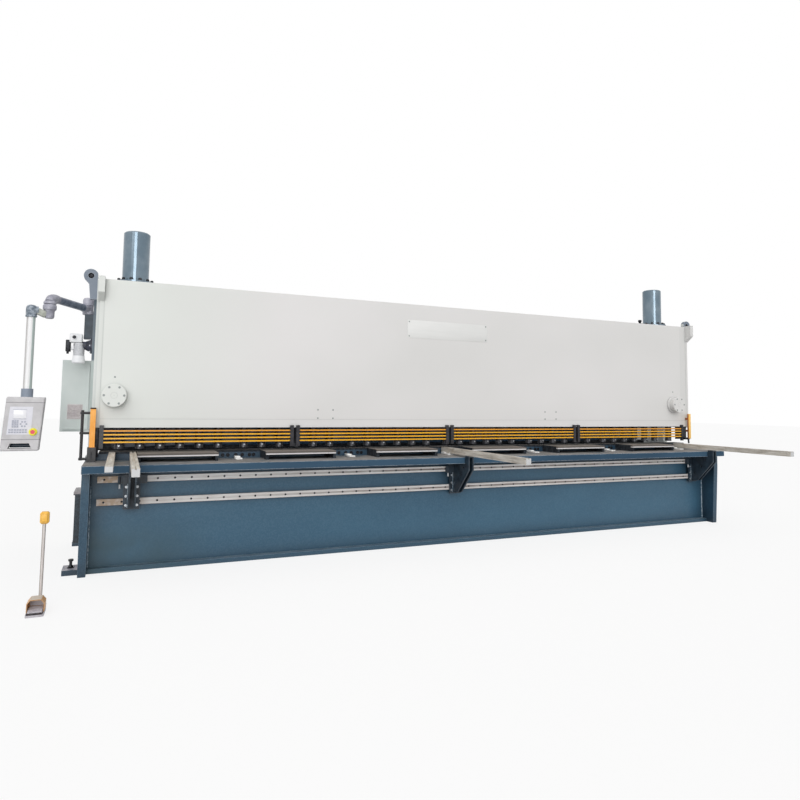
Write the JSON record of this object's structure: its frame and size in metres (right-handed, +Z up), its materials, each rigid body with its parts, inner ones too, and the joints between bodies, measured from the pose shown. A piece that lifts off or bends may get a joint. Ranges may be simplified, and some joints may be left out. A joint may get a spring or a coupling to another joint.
{
  "type": "hydraulic guillotine shear",
  "caption": "Long floor-standing hydraulic shear with raked drop blade, holddown rams, finger guards, sheet support arms, swing-out pendant and separate foot pedal.",
  "frame": {"origin": "on the floor, at mid length of the blades, under the cutting plane", "axes": "+X along the blades to the right of the operator, +Y from the operator to the back, +Z up"},
  "size_m": [9.1992, 3.21, 3.505],
  "materials": {
    "lower_paint": "dark blue-grey machine paint, satin",
    "side_plate_paint": "blue-grey below and pale grey above, satin",
    "upper_paint": "pale grey machine paint, satin",
    "black_paint": "black paint and blackened steel",
    "yellow_paint": "yellow safety paint",
    "bare_steel": "machined and zinc-coated steel",
    "rail_steel": "ground guide rail",
    "cylinder_paint": "slate blue gloss paint",
    "cabinet_paint": "textured pale grey powder coat",
    "pendant_grey": "fine-textured grey",
    "aluminium_tube": "anodised",
    "stop_red": "gloss"
  },
  "bodies": {
    "frame": {"side_plate_left": "side_plate_paint", "side_plate_right": "side_plate_paint", "bed_frame": "lower_paint", "table_plate": "lower_paint", "lower_knife_beam": "lower_paint", "sheet_deck": "bare_steel", "lower_blade": "bare_steel", "guide_rail_upper": "rail_steel", "guide_rail_lower": "rail_steel", "squaring_arm": "bare_steel", "front_panel": "upper_paint", "holddown_beam": "lower_paint", "holddown_rams": "black_paint", "guard_1": "yellow_paint", "guard_2": "yellow_paint", "guard_3": "yellow_paint", "guard_4": "yellow_paint", "roller_cover_left": "upper_paint", "roller_cover_right": "upper_paint", "cylinder_left": "cylinder_paint", "cylinder_right": "cylinder_paint", "upper_frame": "upper_paint", "knife_guide_left": "bare_steel", "knife_guide_right": "bare_steel", "oil_tank": "upper_paint", "pump_motor": "lower_paint", "control_cabinet": "cabinet_paint", "side_box": "lower_paint", "gap_motor": "lower_paint", "light_curtain_left": "yellow_paint", "light_curtain_right": "yellow_paint", "arm_post": "black_paint", "pedal_hood": "yellow_paint", "pedal_post": "bare_steel"},
    "knife": {"knife_beam": "lower_paint", "upper_blade": "bare_steel", "back_gauge": "lower_paint", "piston_rod_left": "bare_steel", "piston_rod_right": "bare_steel"},
    "arm_carriage_1": {"support_arm_1": "bare_steel", "arm_bracket_1": "black_paint"},
    "arm_carriage_2": {"support_arm_2": "bare_steel", "arm_bracket_2": "black_paint"},
    "arm_carriage_3": {"support_arm_3": "bare_steel", "arm_bracket_3": "black_paint"},
    "swing": {"swing_arm": "pendant_grey"},
    "elbow": {"elbow_link": "pendant_grey"},
    "pendant": {"pendant_tube": "aluminium_tube", "pendant_box": "pendant_grey"},
    "stop": {"stop_button": "stop_red"},
    "pedal_plate": {"pedal": "bare_steel"}
  },
  "joints": [
    {"name": "knife_slide", "type": "slide", "parent": "frame", "child": "knife", "axis": [0, 0, 1], "range_m": [-0.25, 0]},
    {"name": "arm_slide_1", "type": "slide", "parent": "frame", "child": "arm_carriage_1", "axis": [1, 0, 0], "range_m": [-0.125, 0.002]},
    {"name": "arm_slide_2", "type": "slide", "parent": "frame", "child": "arm_carriage_2", "axis": [1, 0, 0], "range_m": [-0.205, 0.21]},
    {"name": "arm_slide_3", "type": "slide", "parent": "frame", "child": "arm_carriage_3", "axis": [1, 0, 0], "range_m": [-0.33, 0.06]},
    {"name": "swing_hinge", "type": "hinge", "parent": "frame", "child": "swing", "pos_m": [-4.235, 0.38, 2.6], "axis": [0, 0, 1], "range_deg": [-60, 20]},
    {"name": "elbow_hinge", "type": "hinge", "parent": "swing", "child": "elbow", "pos_m": [-4.543, -0.3, 2.6], "axis": [0, 0, 1], "range_deg": [-90, 60]},
    {"name": "pendant_hinge", "type": "hinge", "parent": "elbow", "child": "pendant", "pos_m": [-4.693, -0.34, 2.455], "axis": [0, 0, 1], "range_deg": [-90, 90]},
    {"name": "stop_press", "type": "slide", "parent": "pendant", "child": "stop", "axis": [0, 1, 0], "range_m": [0, 0.006], "stiffness_N_per_m": 2000, "springref_m": -0.004},
    {"name": "pedal_hinge", "type": "hinge", "parent": "frame", "child": "pedal_plate", "pos_m": [-4.4, -1.535, 0.04], "axis": [1, 0, 0], "range_deg": [0, 7], "stiffness_Nm_per_rad": 12, "springref_deg": -20.05}
  ]
}
